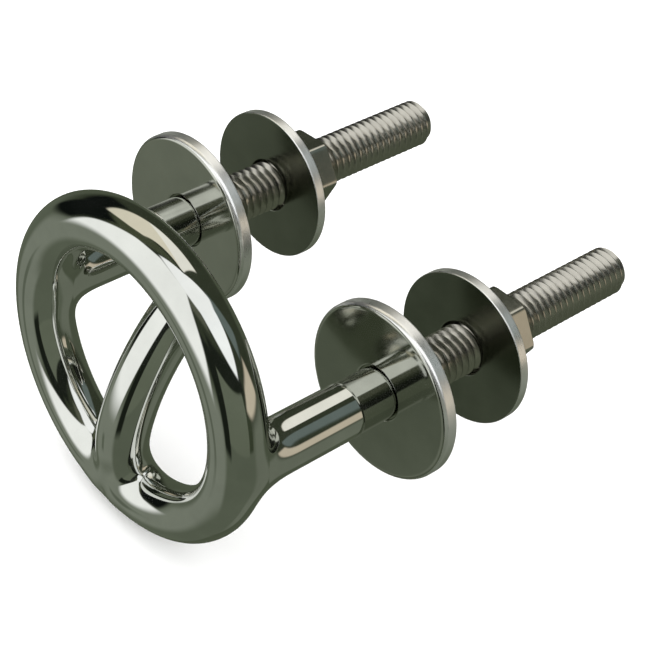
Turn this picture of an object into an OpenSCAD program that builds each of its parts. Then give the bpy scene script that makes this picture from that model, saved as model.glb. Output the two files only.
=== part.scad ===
// Two-stud tow ring. A closed ring of round bar carries a bent hook inside it and is
// welded to two threaded legs that pass through a panel, such as a boat's transom.
// Each leg has a thick polished washer outside the panel, and a plain washer and a
// hexagon nut inside it. At rest the washers stand apart by the thickness of a panel.
//
// Frame: the origin is midway between the legs, on the panel's outer face, where the
// backs of the front washers sit. +Y runs along the legs into the panel, +Z is up and
// +X is to the right when looking along +Y.

/* [Ring and hook] */
// Diameter of the circle along the middle of the ring's bar
ring_d = 68; // [66:1:76]
// Diameter of the round bar of the ring and the plain legs
bar_d = 12.7; // [12.6:0.1:12.8]
// Distance from the ring's plane to the panel's outer face
standoff = 43; // [42:1:60]
// Diameter of the hook's bar
hook_d = 12; // [10:0.5:12]
// Straight stretch at the foot of the hook
hook_foot = 9.6; // [8:0.2:11]
// Lean of the hook's foot, negative away from the panel
hook_lean_foot = -9; // [-12:1:-6]
// Lean of the hook where its lower bend ends
hook_lean_mid = 8; // [4:1:12]
// Lean of the hook at its free end, towards the panel
hook_lean_tip = 43; // [38:1:46]
// Radius of the lower bend of the hook
hook_bend_low = 30; // [26:1:34]
// Radius of the long upper bend of the hook
hook_bend_high = 56; // [50:1:60]

/* [Legs] */
// Distance between the two legs, middle to middle
leg_pitch = 68; // [66:1:72]
// Distance from the ring's plane to the shoulder of the plain leg
shoulder_at = 30; // [26:1:34]
// Diameter of the shank between the shoulder and the thread
shank_d = 12.3; // [12.2:0.1:12.4]
// Major diameter of the thread
thread_d = 11.9; // [11.8:0.05:11.95]
// Pitch of the thread
pitch = 1.95; // [1.75:0.05:2.1]
// Distance from the panel's outer face to the tips
reach = 74.5; // [60:0.5:90]

/* [Washers and nuts] */
// Diameter of the hole in every washer
washer_hole_d = 13; // [12.9:0.1:13.4]
// Outside diameter of the front washers
front_washer_d = 42; // [36:1:46]
// Thickness of the front washers
front_washer_t = 3.5; // [3:0.5:5]
// Outside diameter of the rear washers
rear_washer_d = 37; // [30:1:42]
// Thickness of the rear washers
rear_washer_t = 2.5; // [2:0.5:3]
// Gap between the front and the rear washers at rest
panel_gap = 22.5; // [12:0.5:30]
// Width of the nuts across their flats
nut_af = 17; // [17:0.5:19]
// Height of the nuts
nut_h = 12; // [10:0.1:13]
// Diameter of the nuts' bore, which runs clear over the crests of the thread
nut_bore_d = 12.06; // [12.04:0.01:12.1]
// Turn of the left nut from a flat lying level
left_nut_turn = 51; // [0:1:60]
// Turn of the right nut from a flat lying level
right_nut_turn = 55; // [0:1:60]

/* [Hidden] */
$fn = 96;

LEFT = -1;
RIGHT = 1;

ring_r = ring_d / 2;
bar_r = bar_d / 2;
hook_r = hook_d / 2;
shank_r = shank_d / 2;
crest_r = thread_d / 2;
ring_y = -standoff;

// A bolt thread: 60 degree flanks, a crest one eighth and a root one quarter of the
// pitch wide. Its grooves are rings, not a helix, so that their faces stay exact.
thread_angle = 60;
crest_w = pitch / 8;
root_w = pitch / 4;
flank_w = (pitch - crest_w - root_w) / 2;
groove_depth = flank_w / tan(thread_angle / 2);
root_r = crest_r - groove_depth;
thread_start = 0.3;       // the first crest, just behind the panel's outer face
neck_l = 1.2;             // plain neck between the shank and the first crest
tip_bevel = 1.6;
groove_count = floor((reach - tip_bevel - thread_start) / pitch);

shoulder_bevel = (bar_d - shank_d) / 2;
front_edge_r = 1.2;       // rounding of the front washers' polished front edge
back_edge = 0.3;          // edge break of the washers' other edges
hole_edge = 0.4;          // bevel of the washers' holes

stud_weld_toe = 12.6;     // ring's plane to the end of the bead along the leg
stud_weld_w = 3.4;        // how far the bead stands out at the ring
hook_weld_w = 2.6;
hook_weld_from = 4.6;     // along the hook's foot, inside the ring's bar
weld_lip = 0.35;          // thickness of a bead's edge
weld_side = 0.7;          // thickness of a bead where the sides of its bars meet
weld_low = 0.16;          // shares of a bead's length: where it leaves the other bar,
weld_swell = 0.26;        // where it has swollen to most of its width,
weld_full = 0.42;         // and where it is at its widest
weld_swell_w = 0.6;       // share of the width that it has at the second of these
lens_r = 30;              // radius of the curve that trims a bead's sides
stretch_step = 0.02;      // how much thinner each stretch of the hook is than the last
stretch_run = 0.3;        // how far it starts inside the last
overlap = 0.01;           // how far a cutter runs past what it cuts

nut_face_share = 0.95;    // the flat ring that bears on the washer, as a share of nut_af
nut_back_share = 1.07;    // the flat of the nuts' outer end, which is hardly bevelled
nut_cone_angle = 30;
nut_sink = 0.5;           // countersink of the nuts' bore

rear_washer_y = panel_gap;
nut_y = rear_washer_y + rear_washer_t;

// ---- Placing

// Turns a solid made along +Z from 0 so that it runs along +Y from y.
module along_y(y) translate([0, y, 0]) rotate([-90, 0, 0]) children();

// Moves a solid to the left or the right leg's axis.
module at_leg(side) translate([side * leg_pitch / 2, 0, 0]) children();

// ---- Ring

module ring_bar(r) {
    along_y(ring_y) rotate_extrude() translate([ring_r, 0]) circle(r);
}

module ring() {
    color([0.76, 0.77, 0.75]) ring_bar(bar_r);
}

// ---- Hook: a bar along straight and round stretches in the plane x = 0

// In this plane a place is [y, z], and a lean of 0 points up and 90 into the panel.
function heading(lean) = [sin(lean), cos(lean)];
function bend_centre(from, lean, radius) = from + radius * [cos(lean), -sin(lean)];
function bend_end(from, lean, to_lean, radius) =
    bend_centre(from, lean, radius) - radius * [cos(to_lean), -sin(to_lean)];

foot = [ring_y, -ring_r];
bend_low_at = foot + hook_foot * heading(hook_lean_foot);
bend_high_at = bend_end(bend_low_at, hook_lean_foot, hook_lean_mid, hook_bend_low);
hook_end = bend_end(bend_high_at, hook_lean_mid, hook_lean_tip, hook_bend_high);

// Turns a solid made in the X-Y plane into the Y-Z plane.
module in_hook_plane() rotate([90, 0, 90]) children();

// Each stretch is a hair thinner than the one before it and starts a little way inside
// it, so that the solids meet on a clean circle.
function stretch_r(index) = hook_r - index * stretch_step;

module hook_bend(index, from, lean, to_lean, radius) {
    back = stretch_run / radius * 180 / PI;
    in_hook_plane()
        translate(bend_centre(from, lean, radius))
            rotate(180 - to_lean)
                rotate_extrude(angle = to_lean - lean + back)
                    translate([radius, 0]) circle(stretch_r(index));
}

// Places a solid made along +Z so that it starts at a point of the plane, leaning.
module on_hook(at, lean) translate([0, at[0], at[1]]) rotate([-lean, 0, 0]) children();

module hook_bar() {
    on_hook(foot, hook_lean_foot) cylinder(h = hook_foot, r = hook_r);
    hook_bend(1, bend_low_at, hook_lean_foot, hook_lean_mid, hook_bend_low);
    hook_bend(2, bend_high_at, hook_lean_mid, hook_lean_tip, hook_bend_high);
    on_hook(hook_end, hook_lean_tip) sphere(stretch_r(3));
}

module hook() {
    color([0.74, 0.75, 0.73]) difference() {
        hook_bar();
        ring_bar(bar_r);
    }
}

// ---- Weld beads: a collar round a bar, less the bars that it joins

// Half outline of a bead on a bar of radius r: it swells out of the other bar's side
// to its full width w, then runs up its own bar in a hollow curve to its toe at l.
function bead_outline(r, w, l, steps = 12) = concat(
    [[r - w / 2, l * weld_low], [r, l * weld_low], [r + w * weld_swell_w, l * weld_swell],
     [r + w, l * weld_full]],
    [for (i = [0:steps])
        let (a = 90 * i / steps)
            [r + weld_lip + (w - weld_lip) * (1 - sin(a)), l * (0.5 + 0.5 * (1 - cos(a)))]],
    [[r - w / 2, l]]);

// The metal lies in the corners between the bars, so a lens trims the collar where
// the sides of the two bars run into each other. Its narrow way is the local X.
module bead(r, w, l) {
    off = lens_r - r - weld_side;
    intersection() {
        rotate_extrude() polygon(bead_outline(r, w, l));
        translate([off, 0, 0]) cylinder(h = l, r = lens_r);
        translate([-off, 0, 0]) cylinder(h = l, r = lens_r);
    }
}

module hook_weld() {
    color([0.66, 0.66, 0.63]) difference() {
        on_hook(foot + hook_weld_from * heading(hook_lean_foot), hook_lean_foot)
            rotate(90) bead(hook_r, hook_weld_w, hook_foot - hook_weld_from);
        on_hook(foot, hook_lean_foot) cylinder(h = hook_foot + overlap, r = hook_r);
        ring_bar(bar_r);
    }
}

module stud_weld(side) {
    color([0.66, 0.66, 0.63]) difference() {
        at_leg(side) along_y(ring_y) bead(bar_r, stud_weld_w, stud_weld_toe);
        at_leg(side) along_y(ring_y) cylinder(h = stud_weld_toe + overlap, r = bar_r);
        ring_bar(bar_r);
    }
}

module left_stud_weld() stud_weld(LEFT);
module right_stud_weld() stud_weld(RIGHT);

// ---- Legs

// One crest and the groove behind it, as points from the crest's front edge.
function thread_turn(y) = [
    [crest_r, y], [crest_r, y + crest_w],
    [root_r, y + crest_w + flank_w], [root_r, y + crest_w + flank_w + root_w]];

function thread_outline() =
    [for (i = [0:groove_count - 1], p = thread_turn(thread_start + i * pitch)) p];

module stud_body() {
    last = thread_start + groove_count * pitch;
    along_y(0) rotate_extrude() polygon(concat(
        [[0, ring_y], [bar_r, ring_y],
         [bar_r, ring_y + shoulder_at], [shank_r, ring_y + shoulder_at + shoulder_bevel],
         [shank_r, thread_start - neck_l - shoulder_bevel], [root_r, thread_start - flank_w]],
        thread_outline(),
        [[crest_r, last], [crest_r, reach - tip_bevel],
         [crest_r - tip_bevel, reach], [0, reach]]));
}

module stud(side) {
    color([0.72, 0.73, 0.71]) difference() {
        at_leg(side) stud_body();
        ring_bar(bar_r);
    }
}

module left_stud() stud(LEFT);
module right_stud() stud(RIGHT);

// ---- Washers

// A disc from its polished front at 0 to its back at t, with a bevelled hole.
module washer(outer_d, t, edge_r) {
    steps = 6;
    r = outer_d / 2;
    hole_r = washer_hole_d / 2;
    rotate_extrude() polygon(concat(
        [[hole_r, hole_edge], [hole_r + hole_edge, 0]],
        [for (i = [0:steps])
            let (a = 90 * i / steps)
                [r - edge_r * (1 - sin(a)), edge_r * (1 - cos(a))]],
        [[r, t - back_edge], [r - back_edge, t], [hole_r + hole_edge, t],
         [hole_r, t - hole_edge]]));
}

module front_washer(side) {
    color([0.78, 0.79, 0.77]) at_leg(side) along_y(-front_washer_t)
        washer(front_washer_d, front_washer_t, front_edge_r);
}

module rear_washer(side) {
    color([0.6, 0.6, 0.57]) at_leg(side) along_y(rear_washer_y)
        washer(rear_washer_d, rear_washer_t, back_edge);
}

module left_front_washer() front_washer(LEFT);
module right_front_washer() front_washer(RIGHT);
module left_rear_washer() rear_washer(LEFT);
module right_rear_washer() rear_washer(RIGHT);

// ---- Nuts

// A hexagonal prism with both ends turned to a cone, and a countersunk bore.
module hex_nut() {
    corner_r = nut_af / sqrt(3);
    face_r = nut_face_share * nut_af / 2;
    back_r = nut_back_share * nut_af / 2;
    face_cone = (corner_r - face_r) * tan(nut_cone_angle);
    back_cone = (corner_r - back_r) * tan(nut_cone_angle);
    bore_r = nut_bore_d / 2;
    intersection() {
        cylinder(h = nut_h, r = corner_r, $fn = 6);
        rotate_extrude() polygon([
            [bore_r, nut_sink], [bore_r + nut_sink, 0], [face_r, 0],
            [corner_r + overlap, face_cone], [corner_r + overlap, nut_h - back_cone],
            [back_r, nut_h], [bore_r + nut_sink, nut_h], [bore_r, nut_h - nut_sink]]);
    }
}

module nut(side, turn) {
    color([0.62, 0.62, 0.59]) at_leg(side) along_y(nut_y) rotate(turn) hex_nut();
}

module left_nut() nut(LEFT, left_nut_turn);
module right_nut() nut(RIGHT, right_nut_turn);

ring();
hook();
hook_weld();
left_stud();
right_stud();
left_stud_weld();
right_stud_weld();
left_front_washer();
right_front_washer();
left_rear_washer();
right_rear_washer();
left_nut();
right_nut();
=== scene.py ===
"""Looks for the two-stud tow ring: a polished ring and hook on two threaded legs, with washers and nuts.

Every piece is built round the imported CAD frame, in metres. +Y runs along the legs, +Z is up.
"""
import math

import bmesh
import bpy
import numpy as np
from mathutils import Matrix, Vector


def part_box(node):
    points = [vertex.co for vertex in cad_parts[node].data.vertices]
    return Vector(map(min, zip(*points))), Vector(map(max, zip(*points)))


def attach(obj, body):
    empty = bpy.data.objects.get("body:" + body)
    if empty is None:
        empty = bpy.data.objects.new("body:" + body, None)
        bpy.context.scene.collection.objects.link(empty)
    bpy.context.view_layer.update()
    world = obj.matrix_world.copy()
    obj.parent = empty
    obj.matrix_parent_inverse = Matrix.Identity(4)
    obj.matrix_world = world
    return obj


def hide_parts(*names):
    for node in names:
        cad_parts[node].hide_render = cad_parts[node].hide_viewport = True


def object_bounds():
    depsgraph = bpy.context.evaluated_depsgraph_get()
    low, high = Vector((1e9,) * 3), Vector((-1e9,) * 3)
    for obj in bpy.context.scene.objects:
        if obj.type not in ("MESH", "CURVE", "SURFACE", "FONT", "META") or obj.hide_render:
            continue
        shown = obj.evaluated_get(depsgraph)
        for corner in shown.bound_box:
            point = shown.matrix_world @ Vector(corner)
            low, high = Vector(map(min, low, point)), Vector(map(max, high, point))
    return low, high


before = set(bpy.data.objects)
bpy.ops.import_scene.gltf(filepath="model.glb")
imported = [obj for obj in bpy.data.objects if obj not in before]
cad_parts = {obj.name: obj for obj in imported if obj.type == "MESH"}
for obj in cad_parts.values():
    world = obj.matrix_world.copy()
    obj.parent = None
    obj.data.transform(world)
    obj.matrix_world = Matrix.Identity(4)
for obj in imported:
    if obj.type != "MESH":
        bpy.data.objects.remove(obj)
cad_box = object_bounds()

MM = 0.001
TAU = 2 * math.pi

# ---- Sizes, read from the frame ----------------------------------------------------------------

ring_lo, ring_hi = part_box("ring")
BAR_R = (ring_hi.y - ring_lo.y) / 2
RING_Y = (ring_hi.y + ring_lo.y) / 2
RING_R = (ring_hi.x - ring_lo.x) / 2 - BAR_R
hook_lo, hook_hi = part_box("hook")
HOOK_R = (hook_hi.x - hook_lo.x) / 2
stud_lo, stud_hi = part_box("right_stud")
LEG_X = (stud_lo.x + stud_hi.x) / 2
TIP_Y = stud_hi.y

SHOULDER_Y = RING_Y + 30 * MM
SHANK_R = 6.15 * MM
CREST_R = 5.95 * MM
PITCH = 1.95 * MM
THREAD_DEPTH = 1.055 * MM
THREAD_FROM = -0.9 * MM
TIP_BEVEL = 1.6 * MM
THREAD_NECK = 0.3 * MM    # cone from the shank down to the first crest
SHOULDER_ROUND = 0.25 * MM
FILLET_REACH = 7.5 * MM
NUT_CONE_ANGLE = 30       # slope of a nut's bevelled corners
NUT_SINK = 0.55 * MM      # countersink of its bore
NUT_EASE = 0.1 * MM       # roundness of its edges
NUT_CORNER_CUT = 0.12 * MM
NUT_ROUNDING = 0.08 * MM
NUT_FACE_SHARES = (0.95, 1.07)   # round end faces, washer side and outer side, against the flats

# The hook's bar: its foot's length and lean, then two bends as (end lean, radius).
HOOK_FOOT = 9.6 * MM
HOOK_LEAN = -9
HOOK_BENDS = ((8, 30 * MM), (43, 56 * MM))

SIDES = (("left", -1), ("right", 1))
HOLD = 0.12 * MM          # a row this close to a rounded edge keeps a long face flat beside it


# ---- Mesh helpers ------------------------------------------------------------------------------

def add_mesh(name, verts, faces, materials, body, nodes, face_material=None,
             sharp=None, normals=None):
    """A piece that rides on a body and stands for CAD nodes. Faces turned past sharp degrees
    keep a crisp edge; given normals replace the computed ones."""
    mesh = bpy.data.meshes.new(name)
    mesh.from_pydata([tuple(v) for v in verts], [], [tuple(int(i) for i in f) for f in faces])
    obj = bpy.data.objects.new(name, mesh)
    bpy.context.scene.collection.objects.link(obj)
    for m in materials:
        mesh.materials.append(m)
    if face_material is not None:
        mesh.polygons.foreach_set("material_index", np.asarray(face_material, np.int32))
    if normals is None:
        bm = bmesh.new()
        bm.from_mesh(mesh)
        bmesh.ops.remove_doubles(bm, verts=bm.verts, dist=1e-7)
        bmesh.ops.dissolve_degenerate(bm, edges=bm.edges, dist=1e-8)
        bmesh.ops.recalc_face_normals(bm, faces=bm.faces)
        bm.to_mesh(mesh)
        bm.free()
    mesh.shade_smooth()
    if sharp:
        mesh.set_sharp_from_angle(angle=math.radians(sharp))
    if normals is not None:
        mesh.normals_split_custom_set_from_vertices([tuple(n) for n in normals])
    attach(obj, body)
    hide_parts(*nodes)
    return obj


def revolve(profile, x, steps, closed=True):
    """Turns a profile of (radius, y) about the line at x along Y. A closed profile is a loop;
    an open one ends in flat caps."""
    profile = np.asarray(profile, float)
    turn = np.arange(steps) * TAU / steps
    r, y = profile[:, 0], profile[:, 1]
    verts = np.stack([x + r[:, None] * np.sin(turn), np.repeat(y[:, None], steps, 1),
                      r[:, None] * np.cos(turn)], -1).reshape(-1, 3)
    faces = grid_faces(len(profile), steps, closed)
    if not closed:
        faces += [list(range(steps)), list(range((len(profile) - 1) * steps, len(profile) * steps))]
    return verts, faces


def grid_faces(rows, cols, wrap_rows):
    last = rows if wrap_rows else rows - 1
    return [[i * cols + j, i * cols + (j + 1) % cols,
             (i + 1) % rows * cols + (j + 1) % cols, (i + 1) % rows * cols + j]
            for i in range(last) for j in range(cols)]


def arc(centre, radius, start, end, steps):
    """Points of a circular arc, with angles in degrees."""
    return [(centre[0] + radius * math.cos(math.radians(a)), centre[1] + radius * math.sin(math.radians(a)))
            for a in np.linspace(start, end, steps)]


# ---- Colours and materials ---------------------------------------------------------------------

def linear(r, g, b):
    """Linear light from an 8-bit display colour."""
    return tuple(((c / 255 + 0.055) / 1.055) ** 2.4 if c > 10 else c / 255 / 12.92 for c in (r, g, b))


class Nodes:
    """A short way to write shader nodes."""

    def __init__(self, tree):
        self.tree = tree
        tree.nodes.clear()

    def add(self, kind, inputs=(), **settings):
        node = self.tree.nodes.new("ShaderNode" + kind)
        for key, value in settings.items():
            setattr(node, key, value)
        for key, value in dict(inputs).items():
            self.put(node.inputs[key], value)
        return node

    def put(self, socket, value):
        if isinstance(value, bpy.types.NodeSocket):
            self.tree.links.new(value, socket)
        else:
            socket.default_value = value

    def math(self, op, *values):
        node = self.add("Math", operation=op)
        for socket, value in zip(node.inputs, values):
            self.put(socket, value)
        return node.outputs[0]

    def ramp(self, value, lo, hi, to_lo=0.0, to_hi=1.0, smooth=False):
        return self.add("MapRange", {"Value": value, "From Min": lo, "From Max": hi, "To Min": to_lo,
                                     "To Max": to_hi},
                        interpolation_type="SMOOTHSTEP" if smooth else "LINEAR").outputs[0]

    def mix(self, factor, a, b, blend="MIX"):
        node = self.add("Mix", data_type="RGBA", blend_type=blend)
        self.put(node.inputs[0], factor)
        for socket, value in ((node.inputs[6], a), (node.inputs[7], b)):
            self.put(socket, value if isinstance(value, bpy.types.NodeSocket) else (*value, 1))
        return node.outputs[2]

    def noise(self, vector, scale, detail=2.0, rough=0.5):
        return self.add("TexNoise", {"Vector": vector, "Scale": scale, "Detail": detail,
                                     "Roughness": rough}).outputs[0]

    def stretch(self, vector, x, y, z):
        return self.add("VectorMath", {0: vector, 1: (x, y, z)}, operation="MULTIPLY").outputs[0]


def steel(name, colour, rough, rough_var=0.02, waviness=0.05, grain=(0.0, 900.0, (1, 1, 1)), tint=0.05,
          turned=None, mottle=120.0):
    """Steel with uneven polish. grain is (height, scale, stretch) of its fine marks, and turned
    is the spacing of lathe marks about the legs' axes, with their height."""
    mat = bpy.data.materials.new(name)
    mat.use_nodes = True
    n = Nodes(mat.node_tree)
    place = n.add("TexCoord").outputs["Object"]
    cloud = n.noise(place, mottle, 3.0, 0.55)
    dark = tuple(c * (1 - tint) for c in colour)
    light = tuple(min(1.0, c * (1 + tint)) for c in colour)
    base = n.mix(n.ramp(cloud, 0.3, 0.7), dark, light)
    fine_place = n.stretch(place, *grain[2])
    fine = n.noise(fine_place, grain[1], 4.0, 0.6)
    smudge = n.noise(place, 60.0, 4.0, 0.6)
    roughness = n.math("ADD", n.ramp(smudge, 0.35, 0.75, rough - rough_var, rough + rough_var),
                       n.ramp(fine, 0.3, 0.7, -rough_var * 0.5, rough_var * 0.5))
    height = n.math("MULTIPLY", n.noise(place, 90.0, 1.0), waviness * MM)
    if grain[0]:
        height = n.math("ADD", height, n.math("MULTIPLY", fine, grain[0] * MM))
    if turned:
        split = n.add("SeparateXYZ", {0: place})
        across = n.math("SUBTRACT", n.math("ABSOLUTE", split.outputs[0]), LEG_X)
        radius = n.math("SQRT", n.math("ADD", n.math("MULTIPLY", across, across),
                                       n.math("MULTIPLY", split.outputs[2], split.outputs[2])))
        marks = n.noise(n.add("CombineXYZ", {0: radius}).outputs[0], 1 / turned[0], 3.0, 0.7)
        height = n.math("ADD", height, n.math("MULTIPLY", marks, turned[1] * MM))
    bump = n.add("Bump", {"Height": height, "Strength": 1.0, "Distance": 1.0})
    shader = n.add("BsdfPrincipled", {"Base Color": base, "Metallic": 1.0, "Roughness": roughness,
                                      "Normal": bump.outputs[0]})
    n.add("OutputMaterial", {"Surface": shader.outputs[0]})
    mat.diffuse_color = (*colour, 1)
    return mat


polished = steel("polished_steel", (0.72, 0.73, 0.70), 0.05, 0.015, waviness=0.012)
weld_polish = steel("polished_weld", (0.71, 0.72, 0.69), 0.07, 0.02, waviness=0.05,
                    grain=(0.0015, 400.0, (1, 1, 1)))
washer_face = steel("polished_washer", (0.50, 0.51, 0.46), 0.09, 0.02, waviness=0.008,
                    turned=(0.25 * MM, 0.0003))
washer_rim = steel("washer_rim", (0.98, 0.98, 0.97), 0.33, 0.05, waviness=0.02,
                   grain=(0.006, 700.0, (1, 6, 1)), tint=0.02)
thread_steel = steel("thread_steel", (0.53, 0.51, 0.46), 0.22, 0.03, waviness=0.006,
                     grain=(0.001, 1500.0, (1, 1, 1)), tint=0.06, mottle=300.0)
# Rear washers' steel: its dark base colour is painted shade, standing in for the shade the front washers cast
# on the rear washers.
painted_shade_satin = steel("satin_steel", (0.23, 0.245, 0.20), 0.20, 0.04, waviness=0.01,
              grain=(0.001, 1200.0, (1, 1, 1)), tint=0.07, turned=(0.4 * MM, 0.0008))
nut_steel = steel("nut_steel", (0.54, 0.53, 0.48), 0.17, 0.04, waviness=0.012,
                  grain=(0.0015, 900.0, (1, 5, 1)), tint=0.07)


# ---- Ring and hook -----------------------------------------------------------------------------

def hook_line():
    """Points (y, z) along the middle of the hook's bar, with the lean in radians at each."""
    y, z, lean = RING_Y, -RING_R, math.radians(HOOK_LEAN)
    points = [(y + t * math.sin(lean), z + t * math.cos(lean), lean)
              for t in np.linspace(0, HOOK_FOOT, 12)]
    for end, radius in HOOK_BENDS:
        y, z, lean = points[-1]
        cy, cz = y + radius * math.cos(lean), z - radius * math.sin(lean)
        points += [(cy - radius * math.cos(a), cz + radius * math.sin(a), a)
                   for a in np.linspace(lean, math.radians(end), 34)[1:]]
    return np.array(points)


HOOK_LINE = hook_line()


def build_ring():
    loop = arc((RING_R, RING_Y), BAR_R, 0, 360, 97)[:-1]
    verts, faces = revolve(loop, 0.0, 480)
    return add_mesh("polished_ring", verts, faces, [polished], "welded_ring", ["ring"])


def build_hook():
    steps = 72
    stations = [(y, z, lean, HOOK_R) for y, z, lean in HOOK_LINE]
    y, z, lean = HOOK_LINE[-1]
    for a in np.radians(np.linspace(0, 90, 16)[1:-1]):
        stations.append((y + HOOK_R * math.sin(a) * math.sin(lean), z + HOOK_R * math.sin(a) * math.cos(lean),
                         lean, HOOK_R * math.cos(a)))
    verts = []
    for y, z, lean, r in stations:
        for a in np.arange(steps) * TAU / steps:
            c, s = r * math.cos(a), r * math.sin(a)
            verts.append((s, y + c * math.cos(lean), z - c * math.sin(lean)))
    faces = grid_faces(len(stations), steps, False)
    faces.append(list(range(steps)))
    y, z, lean = HOOK_LINE[-1]
    verts.append((0, y + HOOK_R * math.sin(lean), z + HOOK_R * math.cos(lean)))
    top = (len(stations) - 1) * steps
    faces += [[top + j, top + (j + 1) % steps, len(verts) - 1] for j in range(steps)]
    return add_mesh("polished_hook", verts, faces, [polished], "welded_ring", ["hook"],
                    sharp=60)


# ---- Weld fillets: the smooth blend between two bars -------------------------------------------

def ring_field(p):
    """Distance to the ring's surface and its direction."""
    rho = np.maximum(np.hypot(p[:, 0], p[:, 2]), 1e-9)
    near = np.stack([p[:, 0] / rho * RING_R, np.full(len(p), RING_Y), p[:, 2] / rho * RING_R], 1)
    v = p - near
    d = np.maximum(np.linalg.norm(v, axis=1), 1e-9)
    return d - BAR_R, v / d[:, None]


def line_field(points, radius):
    """The same for a bar along a line of points."""
    points = np.asarray(points, float)

    def field(p):
        best = np.full(len(p), 1e9)
        way = np.zeros_like(p)
        for a, b in zip(points[:-1], points[1:]):
            ab = b - a
            t = np.clip((p - a) @ ab / (ab @ ab), 0, 1)
            v = p - a - t[:, None] * ab
            d = np.linalg.norm(v, axis=1)
            closer = d < best
            best = np.where(closer, d, best)
            way[closer] = v[closer]
        best = np.maximum(best, 1e-9)
        return best - radius, way / best[:, None]
    return field


def blended(bar, reach):
    """The ring's and a bar's fields joined by a fillet that fades where their sides run level."""
    def parts(p):
        a, na = ring_field(p)
        b, nb = bar(p)
        along = (na * nb).sum(1)
        k = reach * np.sqrt(np.clip(1 - along * along, 0, 1)) + 1e-6
        return a, b, k

    def field(p):
        a, b, k = parts(p)
        h = np.clip(k - np.abs(a - b), 0, None) / k
        return np.minimum(a, b) - h ** 3 * k / 6

    return field, parts


def gradient(field, p, e=2e-6):
    g = np.stack([field(p + e * axis) - field(p - e * axis) for axis in np.eye(3)], 1) / (2 * e)
    return g / np.maximum(np.linalg.norm(g, axis=1), 1e-9)[:, None]


def surface_net(field, lo, hi, step):
    """Quads of the surface where a field is zero, one vertex to each cell that it crosses."""
    lo, hi = np.asarray(lo, float), np.asarray(hi, float)
    size = np.ceil((hi - lo) / step).astype(int) + 1
    axes = [lo[k] + step * np.arange(size[k]) for k in range(3)]
    grid = np.stack(np.meshgrid(*axes, indexing="ij"), -1)
    inside = (field(grid.reshape(-1, 3)) < 0).reshape(size)
    cells = size - 1
    count = np.zeros(cells, int)
    for dx in (0, 1):
        for dy in (0, 1):
            for dz in (0, 1):
                count += inside[dx:dx + cells[0], dy:dy + cells[1], dz:dz + cells[2]]
    active = (count > 0) & (count < 8)
    index = np.full(cells, -1)
    index[active] = np.arange(active.sum())
    verts = lo + (np.argwhere(active) + 0.5) * step
    faces = []
    for axis in range(3):
        u, v = (axis + 1) % 3, (axis + 2) % 3
        ahead = np.roll(inside, -1, axis)
        cross = np.argwhere(inside != ahead)
        ok = (cross[:, axis] < cells[axis])
        for w in (u, v):
            ok &= (cross[:, w] > 0) & (cross[:, w] < cells[w])
        for c in cross[ok]:
            quad = []
            for du, dv in ((-1, -1), (0, -1), (0, 0), (-1, 0)):
                q = c.copy()
                q[u] += du
                q[v] += dv
                quad.append(index[tuple(q)])
            faces.append(quad if inside[tuple(c)] else quad[::-1])
    return verts, np.array(faces)


def build_weld(name, node, bar, reach, lo, hi, step=0.45 * MM, skirt=0.9 * MM, depth=1.2 * MM):
    """A fillet as a closed shell: the blended surface where the fillet is, its edge sunk just
    under the bars, and an inner skin inside the metal."""
    field, parts = blended(bar, reach)
    verts, quads = surface_net(field, lo, hi, step)
    for turn in range(6):
        for _ in range(3):
            way = gradient(field, verts)
            verts = verts - field(verts)[:, None] * way
        if turn < 5:
            total, links = np.zeros_like(verts), np.zeros(len(verts))
            for k in range(4):
                a, b = quads[:, k], quads[:, (k + 1) % 4]
                np.add.at(total, a, verts[b])
                np.add.at(total, b, verts[a])
                np.add.at(links, a, 1)
                np.add.at(links, b, 1)
            verts = 0.5 * verts + 0.5 * total / np.maximum(links, 1)[:, None]
    a, b, k = parts(verts)
    beyond = np.abs(a - b) - k
    keep = (beyond[quads] < skirt).all(1)
    quads = quads[keep]
    used = np.unique(quads)
    remap = np.full(len(verts), -1)
    remap[used] = np.arange(len(used))
    quads = remap[quads]
    verts, beyond = verts[used], beyond[used]
    normals = gradient(field, verts)
    sink = np.clip(beyond, 0, skirt)
    outer = verts - normals * (sink * 0.25)[:, None]
    inner = verts - normals * depth
    m = len(used)
    edges = {}
    for q in quads:
        for i in range(4):
            edges[(q[i], q[(i + 1) % 4])] = True
    rim = [[end, start, start + m, end + m] for start, end in edges if (end, start) not in edges]
    faces = [list(q) for q in quads] + [[i + m for i in q[::-1]] for q in quads] + rim
    return add_mesh(name, np.vstack([outer, inner]), faces, [weld_polish], "welded_ring",
                    [node], normals=np.vstack([normals, -normals]))


def build_welds():
    bar = line_field([(0, y, z) for y, z, _ in HOOK_LINE], HOOK_R)
    build_weld("hook_fillet", "hook_weld", bar, FILLET_REACH,
               (-17 * MM, RING_Y - 10 * MM, -RING_R - 3 * MM),
               (17 * MM, RING_Y + 10 * MM, -RING_R + 17 * MM))
    for side, sign in SIDES:
        x = sign * LEG_X
        bar = line_field([(x, RING_Y + 0.5 * BAR_R, 0), (x, SHOULDER_Y, 0)], BAR_R)
        build_weld(side + "_leg_fillet", side + "_stud_weld", bar, FILLET_REACH,
                   (x - 10 * MM, RING_Y - 8 * MM, -18 * MM), (x + 10 * MM, RING_Y + 17 * MM, 18 * MM))


# ---- Legs --------------------------------------------------------------------------------------

# One pitch of the thread from crest to crest: (share of the pitch, share of the depth).
THREAD_SHAPE = ((0.0, 0.05), (0.02, 0.0), (0.105, 0.0), (0.125, 0.05), (0.425, 0.94),
                (0.47, 1.0), (0.655, 1.0), (0.70, 0.94))


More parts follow.
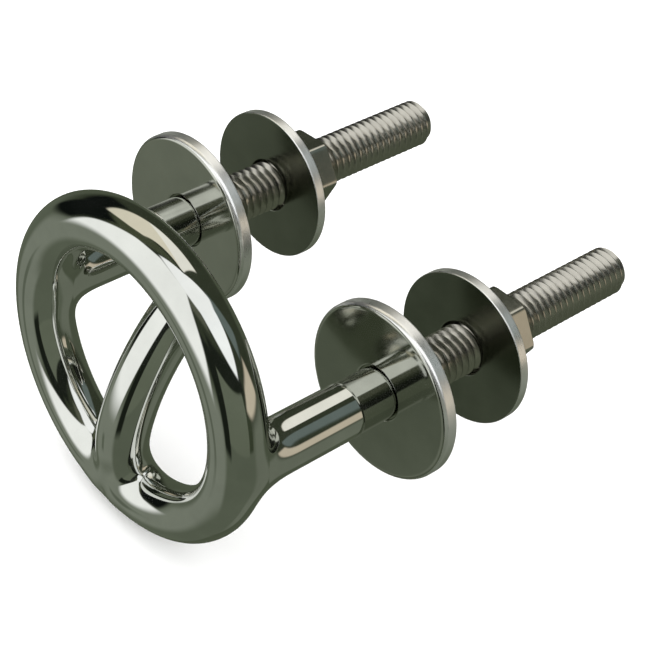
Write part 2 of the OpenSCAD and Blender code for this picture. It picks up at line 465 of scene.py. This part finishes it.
def thread_rows(x, steps):
    """Rows of a right-hand helix, clipped to the thread's two ends."""
    rows = []
    turns = int((TIP_Y - THREAD_FROM) / PITCH) + 3
    share = np.arange(steps) / steps
    for t in range(-1, turns):
        for along, deep in THREAD_SHAPE:
            y = np.clip(THREAD_FROM + (t + along + share) * PITCH, THREAD_FROM, TIP_Y)
            run_out = np.clip((y - THREAD_FROM) / (0.9 * PITCH), 0, 1)
            r = CREST_R - THREAD_DEPTH * deep * run_out
            r = np.minimum(r, CREST_R - TIP_BEVEL + (TIP_Y - y))
            rows.append(np.stack([x + r * np.sin(share * TAU), y, r * np.cos(share * TAU)], 1))
    return np.array(rows)


def build_stud(side, sign):
    steps = 96
    x = sign * LEG_X
    bevel = BAR_R - SHANK_R
    plain = [(BAR_R, RING_Y), (BAR_R, SHOULDER_Y - SHOULDER_ROUND - HOLD),
             (BAR_R, SHOULDER_Y - SHOULDER_ROUND),
             (BAR_R - 0.05 * MM, SHOULDER_Y - 0.1 * MM), (SHANK_R + 0.03 * MM, SHOULDER_Y + bevel),
             (SHANK_R, SHOULDER_Y + bevel + 0.1 * MM), (SHANK_R, SHOULDER_Y + bevel + 0.1 * MM + HOLD),
             (SHANK_R, THREAD_FROM - THREAD_NECK - HOLD), (SHANK_R, THREAD_FROM - THREAD_NECK),
             (CREST_R, THREAD_FROM)]
    verts, faces = revolve(plain, x, steps, closed=False)
    faces = faces[:-1]
    start = len(verts)
    rows = thread_rows(x, steps)
    k = len(THREAD_SHAPE)
    total = len(rows)

    def at(i, j):
        return start + i * steps + j

    thread_faces = []
    for i in range(total - 1):
        for j in range(steps - 1):
            thread_faces.append([at(i, j), at(i, j + 1), at(i + 1, j + 1), at(i + 1, j)])
        if i + k + 1 < total:
            thread_faces.append([at(i, steps - 1), at(i + k, 0), at(i + k + 1, 0), at(i + 1, steps - 1)])
    thread_faces.append([at(total - 1, j) for j in range(steps)])
    verts = np.vstack([verts, rows.reshape(-1, 3)])
    index = [0] * len(faces) + [1] * len(thread_faces)
    return add_mesh(side + "_threaded_leg", verts, faces + thread_faces, [polished, thread_steel],
                    "welded_ring", [side + "_stud"], face_material=index, sharp=24)


# ---- Washers and nuts --------------------------------------------------------------------------

def about_leg(node, x):
    """The CAD piece's vertices and how far each is from the leg's axis."""
    co = np.array([v.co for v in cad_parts[node].data.vertices])
    return co, np.hypot(co[:, 0] - x, co[:, 2])


def build_washer(name, node, body, front_round, back_round, hole_round, face, rim):
    """A turned washer with rounded edges. Its first material is the faces', its second the rim's."""
    lo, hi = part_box(node)
    x = (lo.x + hi.x) / 2
    r, hole, t = (hi.x - lo.x) / 2, about_leg(node, x)[1].min(), hi.y - lo.y
    front, back = lo.y, hi.y
    loop = [(hole, front + t / 2)]
    loop += arc((hole + hole_round, front + hole_round), hole_round, 180, 270, 7)
    loop += [(hole + hole_round + HOLD, front), (r - front_round - HOLD, front)]
    loop += arc((r - front_round, front + front_round), front_round, 270, 360, 13)
    loop += [(r, front + front_round + HOLD), (r, back - back_round - HOLD)]
    loop += arc((r - back_round, back - back_round), back_round, 0, 90, 7)
    loop += [(r - back_round - HOLD, back), (hole + hole_round + HOLD, back)]
    loop += arc((hole + hole_round, back - hole_round), hole_round, 90, 180, 7)
    steps = 256
    verts, faces = revolve(loop, x, steps)
    rows = []
    for i in range(len(loop)):
        (r0, y0), (r1, y1) = loop[i], loop[(i + 1) % len(loop)]
        outer = min(r0, r1) > r - front_round * 0.55 and abs(y1 - y0) > abs(r1 - r0) * 0.8
        rows += [1 if outer else 0] * steps
    return add_mesh(name, verts, faces, [face, rim], body, [node], face_material=rows, sharp=32)


def hex_radius(angle, flat_r):
    """Distance from the middle of a hexagon to its outline, its corners slightly rounded."""
    a = (angle + math.pi / 6) % (math.pi / 3) - math.pi / 6
    r = flat_r / math.cos(a)
    top = flat_r / math.cos(math.pi / 6) - NUT_CORNER_CUT
    return -math.log(math.exp(-r / NUT_ROUNDING) + math.exp(-top / NUT_ROUNDING)) * NUT_ROUNDING


def build_nut(side, sign):
    """A double-chamfered hexagon nut. It keeps the turn of the CAD nut."""
    node = side + "_nut"
    lo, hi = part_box(node)
    x = sign * LEG_X
    co, around = about_leg(node, x)
    far = co[around.argmax()]
    corner = math.atan2(far[0] - x, far[2])
    corner_r = around.max()
    flat_r = corner_r * math.cos(math.pi / 6)
    bore = around.min()
    cone = math.tan(math.radians(NUT_CONE_ANGLE))
    steps = 6 * 28
    angles = np.arange(steps) * TAU / steps
    outline = np.array([hex_radius(a - corner - math.pi / 6, flat_r) for a in angles])

    def row(radius, y):
        radius = np.broadcast_to(radius, (steps,))
        y = np.broadcast_to(y, (steps,))
        return np.stack([x + radius * np.sin(angles), y, radius * np.cos(angles)], 1)

    ease = NUT_EASE
    half = []
    for way, y, share in zip((1, -1), (lo.y, hi.y), NUT_FACE_SHARES):
        face_r = np.minimum(share * flat_r, outline - 2.2 * ease)
        drop = (outline - face_r) * cone
        rows = [row(bore, y + way * NUT_SINK * 1.1), row(bore + NUT_SINK, y), row(face_r - ease, y),
                row(face_r + ease, y + way * ease * 0.35),
                row(outline - ease, y + way * (drop - ease * cone)),
                row(outline - ease * 0.3, y + way * (drop + ease * 0.2)),
                row(outline, y + way * (drop + ease)), row(outline, y + way * (drop + ease + HOLD))]
        half.append(rows if way > 0 else rows[::-1])
    rows = half[0] + half[1]
    verts = np.vstack(rows)
    return add_mesh(side + "_hex_nut", verts, grid_faces(len(rows), steps, True), [nut_steel], side + "_nut",
                    [node], sharp=22)


build_ring()
build_hook()
build_welds()
for side, sign in SIDES:
    build_stud(side, sign)
    build_washer(side + "_polished_washer", side + "_front_washer", side + "_front_washer",
                 1.2 * MM, 0.3 * MM, 0.4 * MM, washer_face, washer_rim)
    # The rear washers' faces carry painted shade in their dark base colour.
    build_washer(side + "_plain_washer", side + "_rear_washer", side + "_rear_washer",
                 0.3 * MM, 0.3 * MM, 0.35 * MM, painted_shade_satin, washer_rim)
    build_nut(side, sign)


# ---- Studio: what the polished steel reflects --------------------------------------------------

# Soft panels round the object, each over the ones before it: corners as (azimuth, elevation) in
# degrees, display colour, and the softness of the edges. Azimuth 0 is towards -Y, 90 towards +X.
# They are only for mirror reflections and stand infinitely far away.
PANELS = (
    (((-400, -100), (400, -100), (400, -8), (-400, -8)), (80, 86, 73), 26),           # floor of the studio
    (((112, -78), (150, -78), (150, -8), (112, -8)), (94, 99, 87), 14),               # its right, lighter
    (((150, -88), (200, -88), (200, -8), (150, -8)), (68, 74, 60), 14),               # its back, darker
    (((-200, -88), (-112, -88), (-112, -3), (-200, -3)), (68, 74, 60), 12),
    (((-76, -58), (12, -58), (12, -18), (-76, -18)), (108, 113, 102), 16),            # its front, lighter
    (((-43.5, -47), (-31, -47), (-31, -36), (-43.5, -36)), (83, 89, 77), 5),          # a shadow on it
    (((-78, 18), (-45, 18), (-45, 84), (-78, 84)), (60, 65, 48), 6),                  # between the softboxes
    (((-122, 4), (-58, 4), (-58, 28), (-118, 28)), (12, 15, 13), 8),                  # black flag
    (((-95, -14), (-60, -14), (-60, 12), (-95, 12)), (12, 15, 13), 8),                # its lower half
    (((13, -32), (32, -32), (32, 24), (13, 24)), (22, 26, 20), 6),                    # dark strip
    (((28, 14), (102, 14), (102, 35), (28, 35)), (22, 26, 20), 8),                    # dark right side
    (((14, 44), (46, 44), (46, 58), (14, 58)), (78, 81, 68), 8),
    (((31, -24), (92, -24), (92, 15), (31, 15)), (88, 94, 80), 3),                    # grey card
    (((92, -22), (105, -22), (105, 0), (92, 0)), (50, 56, 42), 4),                    # gap beside it
    (((97, 4), (108, 16), (140, 20), (146, -3), (108, -3)), (176, 166, 148), 6),      # warm panel, right
    (((130, 24), (155, 24), (155, 60), (130, 60)), (88, 98, 95), 6),                  # cool wall behind
    (((-176, 48), (-176, 86), (-120, 86), (-95, 71), (-68, 56), (-68, 44), (-75, 34), (-85, 25)),
     (202, 196, 178), 4),                                                             # warm panel, left
    (((-176, 48), (-176, 86), (-130, 86), (-130, 36.5)), (218, 216, 208), 4),           # its far end
    (((-38, 60.5), (-46, 100), (158, 100), (150, 56), (30, 56)), (232, 233, 233), 5), # overhead softbox
    (((36, 60), (84, 29), (96, 23), (104, 29), (134, 54), (134, 60)), (232, 234, 235), 5),
    (((0, -20), (-58, -20), (-58, 2), (-55, 15), (-48, 40), (-32, 58), (14, 60), (14, 20), (10, 0)),
     (227, 228, 226), (16, 4, 4, 4, 4, 4, 4, 4, 4)),                                  # front softbox
)
DARK_SURROUND = (44, 49, 37)
REFLECTANCE = 0.71


def studio_world():
    world = bpy.data.worlds.new("studio")
    bpy.context.scene.world = world
    world.use_nodes = True
    n = Nodes(world.node_tree)
    split = n.add("SeparateXYZ", {0: n.add("TexCoord").outputs["Generated"]})
    x, y, z = split.outputs
    azimuth = n.math("MULTIPLY", n.math("ARCTAN2", x, n.math("MULTIPLY", y, -1.0)), 180 / math.pi)
    elevation = n.math("MULTIPLY", n.math("ARCSINE", z), 180 / math.pi)

    def lit(colour):
        return tuple(c / REFLECTANCE for c in linear(*colour))

    place = n.add("CombineXYZ", {0: azimuth, 1: elevation, 2: 1.0}).outputs[0]
    seen = lit(DARK_SURROUND)
    for corners, colour, soft in PANELS:
        corners = np.array(corners, float)
        middle = corners.mean(0)
        cover = 1.0
        for i, corner in enumerate(corners):
            along = corners[(i + 1) % len(corners)] - corner
            inward = np.array((-along[1], along[0])) / np.linalg.norm(along)
            inward *= np.sign((middle - corner) @ inward)
            depth = n.add("VectorMath", {0: place, 1: (*inward, -corner @ inward)},
                          operation="DOT_PRODUCT").outputs["Value"]
            width = soft[i] if isinstance(soft, tuple) else soft
            cover = n.math("MULTIPLY", cover, n.ramp(depth, -width / 2, width / 2, smooth=True))
        seen = n.mix(cover, seen, lit(colour))
    path = n.add("LightPath")
    reflected = n.add("Background", {"Color": seen, "Strength": 1.0})
    backdrop = n.add("Background", {"Color": (1, 1, 1, 1), "Strength": 1.8})
    either = n.add("MixShader", {0: path.outputs["Is Glossy Ray"], 1: backdrop.outputs[0],
                                 2: reflected.outputs[0]})
    n.add("OutputWorld", {"Surface": either.outputs[0]})


def build_floor():
    mat = bpy.data.materials.new("pale_floor")
    mat.use_nodes = True
    n = Nodes(mat.node_tree)
    place = n.add("TexCoord").outputs["Object"]
    tone = n.mix(n.ramp(n.noise(place, 40.0, 4.0), 0.3, 0.7), (0.95, 0.95, 0.945), (0.97, 0.97, 0.965))
    shader = n.add("BsdfPrincipled", {"Base Color": tone, "Roughness": 0.9})
    n.add("OutputMaterial", {"Surface": shader.outputs[0]})
    size, z = 6.0, cad_box[0].z - 0.5 * MM
    mesh = bpy.data.meshes.new("floor")
    mesh.from_pydata([(-size, -size, z), (size, -size, z), (size, size, z), (-size, size, z)], [],
                     [(0, 1, 2, 3)])
    mesh.materials.append(mat)
    obj = bpy.data.objects.new("floor", mesh)
    bpy.context.scene.collection.objects.link(obj)
    obj.visible_glossy = False


def build_camera():
    az, el, roll = math.radians(40.842), math.radians(42.02), math.radians(11.449)
    distance, right_by, up_by = 381.55 * MM, 41.96 * MM, 10.37 * MM
    back = Vector((math.sin(az) * math.cos(el), -math.cos(az) * math.cos(el), math.sin(el)))
    level = (-back).cross(Vector((0, 0, 1))).normalized()
    rise = level.cross(-back)
    right = level * math.cos(roll) + rise * math.sin(roll)
    up = rise * math.cos(roll) - level * math.sin(roll)
    target = Vector((0, RING_Y - 2.176 * MM, 0))
    place = target + back * distance + right * right_by + up * up_by
    data = bpy.data.cameras.new("camera")
    data.lens, data.sensor_width = 99.02, 36.0
    data.clip_start, data.clip_end = 0.01, 50.0
    cam = bpy.data.objects.new("camera", data)
    bpy.context.scene.collection.objects.link(cam)
    turn = Matrix((right, up, back)).transposed().to_4x4()
    cam.matrix_world = Matrix.Translation(place) @ turn
    bpy.context.scene.camera = cam


studio_world()
build_floor()
build_camera()
scene = bpy.context.scene
scene.view_settings.view_transform = "Standard"
scene.cycles.max_bounces = 10
scene.cycles.glossy_bounces = 8
